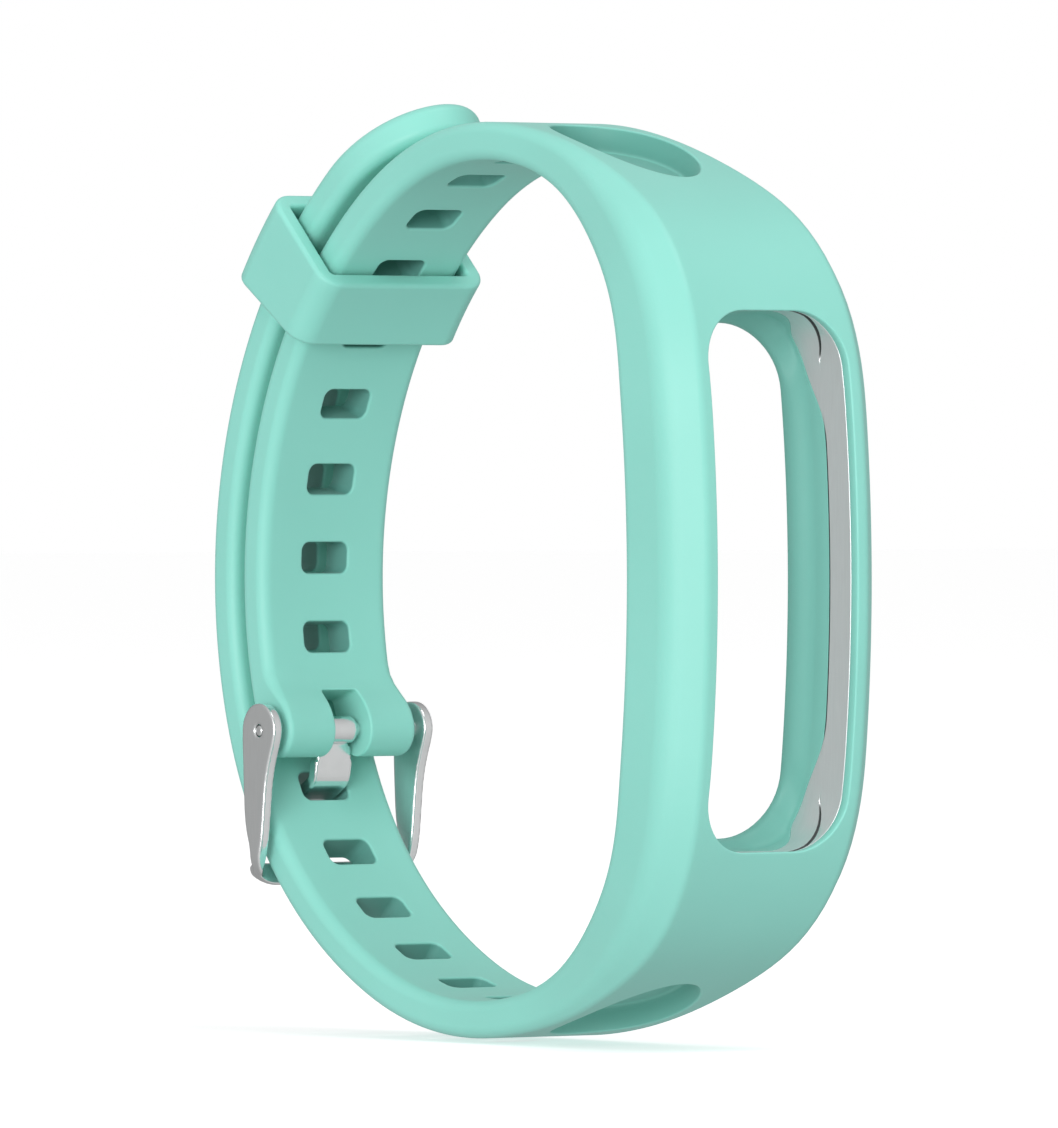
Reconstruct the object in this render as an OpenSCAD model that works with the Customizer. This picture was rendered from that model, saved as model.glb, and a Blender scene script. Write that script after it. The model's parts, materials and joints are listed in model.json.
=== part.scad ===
// Silicone wrist band for a fitness tracker: an open holder at the front, a buckle strap over
// the top, a tail strap under the bottom, a pin buckle and a sliding keeper at the back.
// X runs along the wrist, -Y is the holder's front and +Z is up. Millimetres.

/* [Loop] */
// Wrist side of the holder, measured from the middle of the wrist opening
front_depth = 26.3; // [26:0.1:26.6]
// Width of both straps
strap_w = 12.6; // [11.6:0.1:12.8]
// Thickness of both straps
strap_t = 3; // [2.6:0.1:3.1]
// Gap between the buckle strap and the tail that lies over it
strap_gap = 1.1; // [0.9:0.1:1.3]

/* [Holder] */
// Width of the holder
holder_w = 20.4; // [19:0.1:22]
// Thickness of the holder, from the wrist side to the front face
holder_t = 8.1; // [7.8:0.1:8.6]
// Width of the opening for the tracker capsule
opening_w = 13.7; // [13:0.1:14.4]
// Height of the opening for the tracker capsule
opening_h = 42; // [38:0.5:43]
// Corner radius of the opening
opening_r = 4.3; // [3:0.1:5]
// Width of the ledge around the opening's wrist side, which the capsule rests on
ledge_w = 0.9; // [0.5:0.1:1.2]
// Thickness of that ledge
ledge_t = 1.2; // [0.8:0.1:1.4]
// Bevel along the two long front edges
bevel = 2.3; // [1:0.1:2.5]
// Depth of the oval pockets on both shoulders
pocket_depth = 2; // [1:0.1:2]

/* [Capsule frame] */
// Thickness of the silicone lip in front of the frame
lip_t = 0.9; // [0.7:0.1:1.2]
// Thickness of the frame's sheet metal
frame_t = 0.4; // [0.3:0.05:0.6]
// Depth of the frame along the long sides
frame_side_depth = 2.7; // [2:0.1:3.5]
// Depth of the frame's tabs in the opening's four corners
frame_tab_depth = 5; // [3:0.1:5.2]

/* [Slots] */
// Length of a slot across the strap
slot_w = 4.5; // [4:0.1:5]
// Length of a slot along the strap
slot_l = 2.5; // [2.3:0.1:2.8]
// Distance from one slot to the next
slot_pitch = 6.4; // [6:0.1:6.8]

/* [Buckle] */
// Radius of the strap's lugs around the spring bar
lug_r = 2.2; // [2:0.05:2.3]
// Width of the notch between the lugs
notch_w = 3.5; // [3:0.1:4]
// Inside width between the buckle's arms
buckle_inside_w = 14.2; // [14:0.1:14.8]
// Thickness of a buckle arm
arm_t = 0.9; // [0.7:0.05:1.1]
// Width of the buckle's crossbar along the strap
crossbar_w = 2; // [1.6:0.1:2.4]
// Thickness of the crossbar
crossbar_t = 0.9; // [0.7:0.05:1]
// Width of the tongue
tongue_w = 3.6; // [3:0.1:3.8]
// Thickness of the tongue
tongue_t = 1; // [0.8:0.05:1.1]
// Radius of the spring bar's tube
bar_r = 0.65; // [0.6:0.01:0.7]

/* [Keeper] */
// Length of the keeper along the strap
keeper_l = 7.2; // [6:0.1:7.5]
// Wall thickness of the keeper
keeper_wall = 1.4; // [1.1:0.1:1.6]

/* [Hidden] */
$fn = 48;
silicone = [0.55, 0.87, 0.79];
bright_metal = [0.76, 0.78, 0.78];
satin_metal = [0.69, 0.72, 0.72];

// Wrist side of the loop: arcs that follow each other from the front middle to the back arc
arc_r = [126, 12.5, 42, 23];
arc_turn = [7.7, 38.5, 12.5, 64.1];
strap_hw = strap_w / 2;
holder_hw = holder_w / 2;
overlap_off = strap_t + strap_gap;
// Step between the sections of the band, the height of a cut above the surface, and a size larger
// than the whole band
station = 2;
proud = 2;
far = 120;

function step5(x) = let (c = min(max(x, 0), 1)) c * c * c * (c * (6 * c - 15) + 10);
function inward(h) = [cos(h), -sin(h)];
function turn_at(i) = i == 0 ? 0 : turn_at(i - 1) + arc_turn[i - 1];
function length_at(i) = i == 0 ? 0 : length_at(i - 1) + arc_r[i - 1] * arc_turn[i - 1] * PI / 180;
function knot(i) = i == 0 ? [-front_depth, 0]
    : knot(i - 1) + arc_r[i - 1] * (inward(turn_at(i - 1)) - inward(turn_at(i)));

knots = [for (i = [0:4]) knot(i)];
turns = [for (i = [0:4]) turn_at(i)];
lengths = [for (i = [0:4]) length_at(i)];
back_r = knots[4][1] / sin(turns[4]);
radii = concat(arc_r, [back_r]);
centres = [for (i = [0:4]) knots[i] + radii[i] * inward(turns[i])];
back_y = centres[4][0];
half_loop = lengths[4] + back_r * (180 - turns[4]) * PI / 180;

// Point of the loop at a length s from the front middle, out from the wrist side
function arc_of(s) = s < lengths[1] ? 0 : s < lengths[2] ? 1 : s < lengths[3] ? 2 : s < lengths[4] ? 3 : 4;
function upper(s, out) = let (
        i = arc_of(s),
        h = turns[i] + (s - lengths[i]) / radii[i] * 180 / PI
    ) centres[i] - (radii[i] + out) * inward(h);
function at(s, out) = s >= 0 ? upper(s, out) : [upper(-s, out)[0], -upper(-s, out)[1]];
// Length along the loop of an angle on the back arc, seen from its centre
function back_length(angle) = half_loop - back_r * angle * PI / 180;
function on_back(angle, r) = [back_y + r * cos(angle), r * sin(angle)];

// Pin of the buckle, just outside the wrist side of the strap
pin_angle = -20.3;
pin_r = back_r + 0.4;
pin = on_back(pin_angle, pin_r);
pin_s = back_length(pin_angle);
lug_in = lug_r - (pin_r - back_r);
lug_out = strap_t - lug_r - (pin_r - back_r);

// Notch between the lugs: angles of its leaning end wall and of its open end, and its two radii
notch_end = [-14.6, -15.6];
notch_open = -28;
notch_r = [31, 38.2];

// Laws of the band along its length
taper_start = 11.3;
taper_l = 36.5;
narrow_start = 12.5;
narrow_l = 31.5;
lift_start = 39.4;
lift_l = 48.3;
lug_blend_l = 11;
bevel_start = 18;
bevel_end = 54;
function thickness(s) = strap_t + (holder_t - strap_t) * (1 - step5((abs(s) - taper_start) / taper_l));
function half_width(s) = strap_hw
    + (holder_hw - strap_hw) * (1 - step5((abs(s) - narrow_start) / narrow_l));
function to_lug(s) = step5((s - pin_s + lug_blend_l) / lug_blend_l);
function wrist_side(s) = s < 0 ? overlap_off * step5((-s - lift_start) / lift_l) : -lug_in * to_lug(s);
function outer_side(s) = s < 0 ? wrist_side(s) + thickness(s) : thickness(s) - lug_out * to_lug(s);
function bevel_at(s) = bevel * (1 - step5((abs(s) - bevel_start) / (bevel_end - bevel_start)));
// Tilt of the band's outward direction at s, as a rotation about X
function tilt(s) = let (d = at(s + 0.1, wrist_side(s + 0.1)) - at(s - 0.1, wrist_side(s - 0.1)))
    atan2(d[1], d[0]);

// Length of the loop at which the front view of the holder ends
front_end = 32;
// Lengths of the loop between which a tab of the capsule frame lies
tab_start = 15;
tab_end = 18.4;

// Oval pockets, seen from above, and the lengths of the loop between which they lie
pocket_y = -10.3;
pocket_hw = 4.6;
pocket_hl = 6.6;
pocket_span = [24, 52];

// Tail: cut for bending just past the keeper, then a rounded tip
flex_angle = 46.5;
flex_s = -back_length(-flex_angle);
tip_angle = 65.1;
tip_turn = 13.9;
tip_s = -back_length(-tip_angle);

// Slots: corner radius, the first slot's offset from the buckle's pin and the number of slots of the
// buckle strap, then the tail's slots on both sides of the slot that the tongue goes through
slot_r = 0.7;
first_slot_off = 7.6;
buckle_slots = 9;
tail_slots = [-5, 7];
tongue_slot_angle = 25.6;
// Place of a tail slot, counted from the slot that the tongue goes through. The slots are evenly
// spaced on the tail itself, which lies outside the loop, so their places on the loop are closer.
function closeness(s) = norm(at(s + 0.5, 0) - at(s - 0.5, 0))
    / norm(at(s + 0.5, wrist_side(s + 0.5)) - at(s - 0.5, wrist_side(s - 0.5)));
tongue_slot_s = -back_length(tongue_slot_angle);
function tail_slot(i) = i == 0 ? tongue_slot_s
    : i > 0 ? tail_slot(i - 1) - slot_pitch * closeness(tail_slot(i - 1))
    : tail_slot(i + 1) + slot_pitch * closeness(tail_slot(i + 1));

keeper_angle = 39.2;
keeper_span = keeper_l / (back_r + strap_t + strap_gap / 2) * 180 / PI;
keeper_side_play = 0.5;
keeper_in_play = 0.3;
keeper_out_play = 0.45;
keeper_in_r = back_r - keeper_in_play;
keeper_out_r = back_r + overlap_off + strap_t + keeper_out_play;
keeper_corner_r = 1.9;
keeper_inner_corner_r = 0.3;

crossbar_angle = -34.5;
crossbar_r = 42.35;
crossbar_tilt = 5;
// Edges of a buckle arm below its round head, as offsets from the pin in Y and Z
arm_front = [[-0.1, -11], [-0.42, -8.9], [-0.63, -6.8], [-0.95, -4.2], [-1.65, -1.8], [-2.2, 0]];
arm_back = [[2.2, 0], [2.15, -2.5], [1.98, -5.2], [1.8, -6.7], [1.5, -8], [1.4, -9.3]];
// Foot of an arm around the crossbar, as offsets from the crossbar
arm_foot = [[0.5, 1.2], [0.6, 0.5], [0.35, -0.5], [-0.2, -0.7], [-0.8, -0.6], [-1.2, 0]];
// Middle line of the tongue: offsets from the pin, then angles and radii on the back arc
tongue_start = [[0.65, -0.8], [1, -2.9]];
tongue_through = [[-25.4, 38.4], [-25.8, 42.5], [-27.6, 43.8]];
tongue_end = [-38.6, 43.3];
tongue_gap = 0.2;
tongue_eye_wall = 0.45;
tongue_eye_hw = 1.2;
arm_x = buckle_inside_w / 2;
crossbar_embed = 0.1;
// Spring bar, its holes in the arms and the play of the strap, the tongue and the tips around it
hole_r = 0.52;
strap_play = 0.05;
tongue_play = 0.06;
tip_play = 0.04;
tip_r = 0.45;
tube_hl = 6.9;
tube_bore_r = 0.55;
tube_lip = 0.3;
tip_shoulder_r = 0.5;
tip_shoulder_x = 4.2;
tip_inset = 0.05;
tip_reach = arm_x + arm_t - tip_inset;
spring_hl = 3.2;
spring_r = 0.36;
wire_r = 0.09;
spring_turns = 16;

// Rounded rectangle of squares and circles, so that its corners stay true arcs
module rounded(w, h, r) {
    square([w - 2 * r, h], center = true);
    square([w, h - 2 * r], center = true);
    for (x = [-1, 1], y = [-1, 1]) translate([x * (w / 2 - r), y * (h / 2 - r)]) circle(r);
}

// Extrudes a side view, drawn in Y and Z, along X
module along_x(w) {
    rotate([90, 0, 90]) linear_extrude(w, center = true) children();
}

// Round bar along X at a point of the side view
module rod(r, x0, x1, p) {
    translate([x0, p[0], p[1]]) rotate([0, 90, 0]) cylinder(r = r, h = x1 - x0);
}

// Side view of the band between two lengths and two heights above its outer side
module outer_layer(s0, s1, deep, high) {
    n = ceil((s1 - s0) / station);
    ss = [for (i = [0:n]) s0 + (s1 - s0) * i / n];
    polygon(concat(
        [for (s = ss) at(s, outer_side(s) + high)],
        [for (i = [n:-1:0]) at(ss[i], outer_side(ss[i]) - deep)]
    ));
}

// Side view of the whole band between two lengths
module side_view(s0, s1) {
    n = ceil((s1 - s0) / station);
    ss = [for (i = [0:n]) s0 + (s1 - s0) * i / n];
    polygon(concat(
        [for (s = ss) at(s, outer_side(s))],
        [for (i = [n:-1:0]) at(ss[i], wrist_side(ss[i]))]
    ));
}

// Front view of the holder, which is narrower towards its ends
module front_view() {
    ss = [narrow_start : station : front_end];
    right = concat(
        [for (s = ss) [half_width(s), at(s, outer_side(s))[1]]],
        [[half_width(front_end), far]]
    );
    n = len(right) - 1;
    corner = [for (i = [0:n]) right[i]];
    polygon(concat(
        corner,
        [for (i = [n:-1:0]) [-corner[i][0], corner[i][1]]],
        [for (p = corner) [-p[0], -p[1]]],
        [for (i = [n:-1:0]) [corner[i][0], -corner[i][1]]]
    ));
}

// Top view of the shoulders, which narrow down to the strap
module top_view() {
    ss = [narrow_start : station : narrow_start + narrow_l + station];
    right = concat(
        [[holder_w, -far], [holder_w, -front_depth]],
        [for (s = ss) [half_width(s), at(s, outer_side(s) / 2)[0]]],
        [[strap_hw, far]]
    );
    n = len(right) - 1;
    polygon(concat(right, [for (i = [n:-1:0]) [-right[i][0], right[i][1]]]));
}

// Slot through the band at s, from just inside its wrist side to just outside its outer side
module slot(s) {
    clear = strap_gap / 2;
    p = at(s, wrist_side(s));
    translate([0, p[0], p[1]]) rotate([tilt(s), 0, 0]) translate([0, 0, -clear])
        linear_extrude(strap_t + 2 * clear) rounded(slot_w, slot_l, slot_r);
}

// One short cut of the bevel at s, on the side that x points to
module bevel_cut(s, x) {
    a = at(s - station / 2, outer_side(s - station / 2));
    b = at(s + station / 2, outer_side(s + station / 2));
    wa = half_width(s - station / 2);
    wb = half_width(s + station / 2);
    size = bevel_at(s) * sqrt(2);
    length = norm(b - a);
    overlap = 0.3;
    translate([x * (wa + wb) / 2, (a[0] + b[0]) / 2, (a[1] + b[1]) / 2])
        rotate([atan2(b[1] - a[1], b[0] - a[0]), 0, 0]) rotate([0, 0, x * atan((wa - wb) / length)])
            rotate([0, 45, 0]) cube([size, length + overlap, size], center = true);
}

// Oval pocket in the top shoulder
module pocket() {
    intersection() {
        translate([0, pocket_y, 0]) linear_extrude(far) scale([pocket_hw / pocket_hl, 1]) circle(pocket_hl);
        along_x(holder_w) outer_layer(pocket_span[0], pocket_span[1], pocket_depth, proud);
    }
}

module band() {
    color(silicone) difference() {
        union() {
            intersection() {
                along_x(holder_w + proud) side_view(flex_s, pin_s);
                rotate([90, 0, 0]) linear_extrude(far, center = true) front_view();
                linear_extrude(far, center = true) top_view();
            }
            rod(lug_r, -strap_hw, strap_hw, pin);
        }
        opening();
        frame_space();
        for (s = [2 * station - bevel_end : station : bevel_end - 2 * station]) {
            for (x = [-1, 1]) bevel_cut(s, x);
        }
        for (z = [0, 1]) mirror([0, 0, z]) pocket();
        for (i = [0 : buckle_slots - 1]) slot(pin_s - first_slot_off - i * slot_pitch);
        for (i = [tail_slots[0] : tail_slots[1]]) slot(tail_slot(i));
        along_x(notch_w) polygon([
            on_back(notch_end[0], notch_r[0]), on_back(notch_end[1], notch_r[1]),
            on_back(pin_angle, notch_r[1]), on_back(notch_open, notch_r[1]),
            on_back(notch_open, notch_r[0])
        ]);
        rod(bar_r + strap_play, -strap_w, strap_w, pin);
    }
}

// Opening for the capsule, narrower along its wrist side
module opening() {
    ss = [for (s = [-front_end : station : front_end]) s];
    n = len(ss) - 1;
    rotate([90, 0, 0]) linear_extrude(far)
        rounded(opening_w - 2 * ledge_w, opening_h - 2 * ledge_w, opening_r + ledge_w);
    intersection() {
        rotate([90, 0, 0]) linear_extrude(far) rounded(opening_w, opening_h, opening_r);
        along_x(holder_w) polygon(concat(
            [for (s = ss) at(s, outer_side(s) + proud)],
            [for (i = [n:-1:0]) at(ss[i], ledge_t)]
        ));
    }
}

// Space of the capsule frame: a strip behind the lip, with a deeper tab in each corner
module frame_space() {
    deep = lip_t + frame_side_depth;
    intersection() {
        rotate([90, 0, 0]) linear_extrude(far) difference() {
            rounded(opening_w + 2 * frame_t, opening_h + 2 * frame_t, opening_r + frame_t);
            rounded(opening_w, opening_h, opening_r);
        }
        along_x(holder_w) union() {
            outer_layer(-front_end, front_end, deep, -lip_t);
            for (s = [-tab_end, tab_start]) {
                outer_layer(s, s + tab_end - tab_start, lip_t + frame_tab_depth, -lip_t);
            }
        }
    }
}

module strap_tail() {
    tip_base = tip_s + back_r * tip_turn * PI / 180;
    tip_l = (back_r + overlap_off + strap_t) * sin(tip_turn);
    p = at(tip_base, wrist_side(tip_base));
    color(silicone) intersection() {
        along_x(strap_w) side_view(tip_s, flex_s);
        translate([0, p[0], p[1]]) rotate([tilt(tip_base), 0, 0])
            linear_extrude(far, center = true) union() {
                scale([strap_hw / tip_l, 1]) circle(tip_l);
                translate([-strap_hw, 0]) square([strap_w, far]);
            }
    }
}

module capsule_frame() {
    color(satin_metal) frame_space();
}

module keeper_loop() {
    mid_r = (keeper_in_r + keeper_out_r) / 2;
    inner_h = keeper_out_r - keeper_in_r;
    inner_w = strap_w + 2 * keeper_side_play;
    color(silicone) translate([0, back_y, 0]) rotate([0, 90, 0])
        rotate([0, 0, 90 + keeper_angle - keeper_span / 2])
            rotate_extrude(angle = keeper_span) translate([mid_r, 0]) difference() {
                rounded(inner_h + 2 * keeper_wall, inner_w + 2 * keeper_wall, keeper_corner_r);
                rounded(inner_h, inner_w, keeper_inner_corner_r);
            }
}

module buckle_frame() {
    bar = on_back(crossbar_angle, crossbar_r);
    along = crossbar_angle - 90 + crossbar_tilt;
    outline = concat(
        [for (p = arm_back) pin + p],
        [for (p = arm_foot) bar + p],
        [for (p = arm_front) pin + p]
    );
    color(bright_metal) difference() {
        union() {
            for (x = [-1, 1]) translate([x * (arm_x + arm_t / 2), 0, 0]) along_x(arm_t) union() {
                translate(pin) circle(lug_r);
                polygon(outline);
            }
            translate([0, bar[0], bar[1]]) rotate([along, 0, 0])
                rotate([0, 90, 0]) linear_extrude(2 * (arm_x + crossbar_embed), center = true)
                    rounded(crossbar_t, crossbar_w, crossbar_t / 2 - 0.01);
        }
        rod(hole_r, -strap_w, strap_w, pin);
    }
}

module buckle_tongue() {
    over = on_back(crossbar_angle, crossbar_r + crossbar_t / 2 + tongue_t / 2 + tongue_gap);
    line = concat(
        [for (p = tongue_start) pin + p],
        [for (p = tongue_through) on_back(p[0], p[1])],
        [over, on_back(tongue_end[0], tongue_end[1])]
    );
    n = len(line) - 1;
    color(bright_metal) difference() {
        union() {
            rod(bar_r + tongue_eye_wall, -tongue_eye_hw, tongue_eye_hw, pin);
            along_x(2 * tongue_eye_hw) thick_line([for (i = [0:2]) line[i]], tongue_t);
            along_x(tongue_w) thick_line([for (i = [2:n]) line[i]], tongue_t);
        }
        rod(bar_r + tongue_play, -tongue_w, tongue_w, pin);
    }
}

// Line of constant thickness with round joints, in the side view
module thick_line(points, t) {
    for (p = points) translate(p) circle(t / 2);
    for (i = [1:len(points) - 1]) {
        d = points[i] - points[i - 1];
        translate(points[i - 1]) rotate(atan2(d[1], d[0])) translate([0, -t / 2]) square([norm(d), t]);
    }
}

module spring_bar_tube() {
    color(bright_metal) difference() {
        rod(bar_r, -tube_hl, tube_hl, pin);
        rod(tube_bore_r, -tube_hl + tube_lip, tube_hl - tube_lip, pin);
        rod(tip_r + tip_play, -strap_w, strap_w, pin);
    }
}

// Sprung tip of the spring bar on the side that x points to
module spring_bar_tip(x) {
    color(bright_metal) mirror([x < 0 ? 1 : 0, 0, 0]) {
        rod(tip_shoulder_r, tip_shoulder_x, tube_hl - tube_lip - tip_inset, pin);
        rod(tip_r, tip_shoulder_x, tip_reach, pin);
    }
}

module spring_bar_spring() {
    sides = 8;
    per_turn = 12;
    rings = spring_turns * per_turn;
    lead = (2 * (spring_hl - wire_r)) / spring_turns;
    function ring_point(i, j) = let (
            a = 360 * i / per_turn,
            b = 360 * j / sides,
            r = spring_r + wire_r * cos(b)
        ) [-spring_hl + wire_r + lead * i / per_turn + wire_r * sin(b), r * cos(a), r * sin(a)];
    points = [for (i = [0:rings], j = [0 : sides - 1]) ring_point(i, j)];
    walls = [for (i = [0 : rings - 1], j = [0 : sides - 1]) [
        i * sides + j, (i + 1) * sides + j,
        (i + 1) * sides + (j + 1) % sides, i * sides + (j + 1) % sides
    ]];
    first = [for (j = [0 : sides - 1]) j];
    last = [for (j = [sides - 1 : -1 : 0]) rings * sides + j];
    color(bright_metal) translate([0, pin[0], pin[1]])
        polyhedron(points, concat([first], walls, [last]), convexity = 10);
}

band();
strap_tail();
capsule_frame();
keeper_loop();
buckle_frame();
buckle_tongue();
spring_bar_tube();
spring_bar_tip(-1);  // spring_bar_tip_left
spring_bar_tip(1);  // spring_bar_tip_right
spring_bar_spring();
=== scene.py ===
"""Looks of the silicone tracker band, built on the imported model.

Lengths are in millimetres until a piece is made. s is the length along the loop's wrist side from the middle of
the front, positive over the top to the lugs and negative under the bottom to the tail's tip. A plan is a set of
(s, x) places, or of (x, z) places at the opening, and a depth is measured into the piece from one of its faces.
"""

import json
import math

import bmesh
import bpy
import numpy as np
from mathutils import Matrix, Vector, geometry


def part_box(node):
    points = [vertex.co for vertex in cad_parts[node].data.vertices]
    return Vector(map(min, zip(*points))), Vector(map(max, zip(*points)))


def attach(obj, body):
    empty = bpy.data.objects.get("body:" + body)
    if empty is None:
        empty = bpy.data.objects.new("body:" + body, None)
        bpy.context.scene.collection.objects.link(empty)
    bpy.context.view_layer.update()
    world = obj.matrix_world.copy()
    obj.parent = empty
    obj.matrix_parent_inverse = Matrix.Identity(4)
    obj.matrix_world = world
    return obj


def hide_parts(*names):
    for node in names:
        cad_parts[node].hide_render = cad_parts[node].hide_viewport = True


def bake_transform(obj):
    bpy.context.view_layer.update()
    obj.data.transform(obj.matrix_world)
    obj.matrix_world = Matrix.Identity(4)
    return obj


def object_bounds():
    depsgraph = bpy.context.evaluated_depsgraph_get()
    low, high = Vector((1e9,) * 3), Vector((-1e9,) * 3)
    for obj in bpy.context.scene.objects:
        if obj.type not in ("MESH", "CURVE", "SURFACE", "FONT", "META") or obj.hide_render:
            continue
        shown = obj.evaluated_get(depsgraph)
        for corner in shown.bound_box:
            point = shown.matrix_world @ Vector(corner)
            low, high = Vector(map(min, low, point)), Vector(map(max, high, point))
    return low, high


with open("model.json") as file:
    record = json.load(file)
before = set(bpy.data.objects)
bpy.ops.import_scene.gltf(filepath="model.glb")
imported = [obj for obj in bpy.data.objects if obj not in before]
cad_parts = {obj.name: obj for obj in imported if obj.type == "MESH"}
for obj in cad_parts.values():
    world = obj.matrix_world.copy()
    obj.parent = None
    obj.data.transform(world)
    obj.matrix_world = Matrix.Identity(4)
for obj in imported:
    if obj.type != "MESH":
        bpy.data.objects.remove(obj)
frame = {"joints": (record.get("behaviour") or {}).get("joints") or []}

CAD_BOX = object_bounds()
JOINTS = {j["name"]: j for j in frame["joints"]}

# ---------------------------------------------------------------- dimensions

# Radii and angles of the wrist side's arcs, from the front to the back arc, which closes the chain
ARC_R = (126, 12.5, 42, 23)
ARC_TURN = (7.7, 38.5, 12.5, 64.1)
FRONT_DEPTH = 26.3
SOFTENING = 1.8
# The wrist side is the CAD's exact back arc from this s on
EXACT_FROM = 62.0

STRAP_HW = 6.3
STRAP_T = 3.0
STRAP_GAP = 1.1
HOLDER_HW = 10.2
HOLDER_T = 8.1
BEVEL = 2.3
EDGE_R = 0.95
# Start and length, in s, of the steps from the holder to the straps
THICKNESS_STEP = (11.3, 36.5)
WIDTH_STEP = (12.5, 31.5)
HOLDER_STEP = (20, 28)
BEVEL_STEP = (14, 34)
TAIL_LIFT_STEP = (39.4, 48.3)

OPENING_HW = 6.85
OPENING_HH = 21.0
OPENING_R = 4.3
OPENING_EDGE_R = 0.14
LIP_T = 0.9
RECESS = 0.42
LEDGE_W = 0.9
LEDGE_START = 3.0
LEDGE_NOSE = 0.6
FRAME_DEPTH = 2.7
FRAME_TAB = 2.3

SLOT_HW = 2.25
SLOT_HL = 1.25
SLOT_R = 0.7
SLOT_PITCH = 6.4
SLOT_EDGE_R = 0.2
FIRST_SLOT_OFF = 1.2
BUCKLE_SLOTS = 9
TAIL_SLOTS_BEFORE = 8
TAIL_SLOTS_AFTER = 5
TONGUE_SLOT_ANGLE = 25.6

POCKET_S = 36.8
POCKET_HL = 6.9
POCKET_HW = 4.6
POCKET_DEPTH = 2.05
POCKET_EDGE_R = 0.16

LUG_R = 2.2
LUG_TAPER = 5.6
LUG_EDGE_R = 0.45
PIN_OFFSET = 0.4
NOTCH_HW = 1.75
NOTCH_L = 3.05
NOTCH_EDGE_R = 0.2
NOTCH_CORNER_R = 0.3

TIP_ANGLE = 65.1
TIP_SPAN = 13.9
# The moulding is two pieces that meet at the first angle; the second is past the tip
TAIL_CUT = (43.4, 75)

KEEPER_ANGLE = 39.2
KEEPER_HL = 3.6
KEEPER_PLAY = 0.75
KEEPER_SIDE_PLAY = 0.5
KEEPER_CORNER_R = 1.9
KEEPER_EDGE_R = (0.38, 0.3)

ARM_X = (7.1, 8.0)
ARM_HOLE_R = 0.52
CROSSBAR_ANGLE = -34.5
CROSSBAR_R = 42.35
CROSSBAR_HALF = (0.45, 1.0)
TONGUE_HALF = 0.5
TONGUE_HOLE_R = 0.7

# How strong the painted shade in the recesses is, as a share of the full darkening that the material multiplies in
OPENING_PAINTED_SHADE = 0.45
POCKET_PAINTED_SHADE = {POCKET_S: 0.8, -POCKET_S: 0.4}


def millimetres(point):
    return np.array(point, float) * 1000


PIN = millimetres(JOINTS["buckle_swing"]["pos_m"])[1:]
BACK_Y = millimetres(JOINTS["keeper_slide"]["pos_m"])[1]


# ---------------------------------------------------------------- the loop


def inward(turn):
    return np.stack([np.cos(turn), -np.sin(turn)], -1)


def arc_chain():
    """Start, turn so far and radius of each arc of the wrist side, then half the loop's length."""
    point, turn, length, arcs = np.array([-FRONT_DEPTH, 0.0]), 0.0, 0.0, []
    for radius, bend in zip(ARC_R, np.radians(ARC_TURN)):
        arcs.append((length, turn, radius))
        point = point + radius * (inward(turn) - inward(turn + bend))
        turn += bend
        length += radius * bend
    back_r = point[1] / math.sin(turn)
    arcs.append((length, turn, back_r))
    return arcs, back_r, length + back_r * (math.pi - turn)


ARCS, BACK_R, HALF_LOOP = arc_chain()


def softened_front():
    """Table of the wrist side up to the back arc, with the steps in its curvature smoothed out."""
    step = 0.05
    s = np.arange(0, EXACT_FROM + 12, step)
    bend = np.zeros_like(s)
    for start, _, radius in ARCS:
        bend[s >= start] = 1 / radius
    kernel = np.exp(-0.5 * (np.arange(-200, 201) * step / SOFTENING) ** 2)
    both = np.convolve(np.concatenate([bend[:0:-1], bend]), kernel / kernel.sum(), "same")
    bend = both[len(s) - 1 :]
    keep = s <= EXACT_FROM + step / 2
    s, bend = s[keep], bend[keep]
    start, turn, radius = ARCS[-1]
    end_turn = turn + (EXACT_FROM - start) / radius
    angle = (HALF_LOOP - EXACT_FROM) / BACK_R
    end = np.array([BACK_Y + BACK_R * math.cos(angle), BACK_R * math.sin(angle)])

    def from_end(rate):
        part = (rate[1:] + rate[:-1]) / 2 * step
        return np.concatenate([part[::-1].cumsum()[::-1], [0]])

    turn = end_turn - from_end(bend)
    y = end[0] - from_end(np.sin(turn))
    z = end[1] - from_end(np.cos(turn))
    z -= z[0] * (1 - s / EXACT_FROM)
    return s, turn, y, z


TABLE_S, TABLE_TURN, TABLE_Y, TABLE_Z = softened_front()


def at(s, out):
    """Points (Y, Z) at the length s from the front middle, out from the wrist side."""
    s, out = np.broadcast_arrays(np.asarray(s, float), np.asarray(out, float))
    u = np.abs(s)
    turn = np.interp(u, TABLE_S, TABLE_TURN)
    y = np.interp(u, TABLE_S, TABLE_Y) - out * np.cos(turn)
    z = np.interp(u, TABLE_S, TABLE_Z) + out * np.sin(turn)
    angle = (HALF_LOOP - u) / BACK_R
    back = u > EXACT_FROM
    y = np.where(back, BACK_Y + (BACK_R + out) * np.cos(angle), y)
    z = np.where(back, (BACK_R + out) * np.sin(angle), z)
    return np.stack([y, np.where(s < 0, -z, z)], -1)


def on_back(degrees, r):
    """Point (Y, Z) at an angle above the middle of the back, at the radius r."""
    a = math.radians(degrees)
    return np.array([BACK_Y + r * math.cos(a), r * math.sin(a)])


def step5(x):
    """Smooth step from 0 to 1."""
    x = np.clip(x, 0, 1)
    return x * x * x * (x * (6 * x - 15) + 10)


def eased(s, span):
    """Smooth step over a span (start, length), the same on both straps."""
    return step5((np.abs(s) - span[0]) / span[1])


PIN_ANGLE = math.degrees(math.atan2(PIN[1], PIN[0] - BACK_Y))
PIN_S = HALF_LOOP - BACK_R * math.radians(PIN_ANGLE)
LUG_IN = LUG_R - PIN_OFFSET
LUG_OUT = STRAP_T - LUG_R - PIN_OFFSET


def thickness(s):
    return STRAP_T + (HOLDER_T - STRAP_T) * (1 - eased(s, THICKNESS_STEP))


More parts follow.
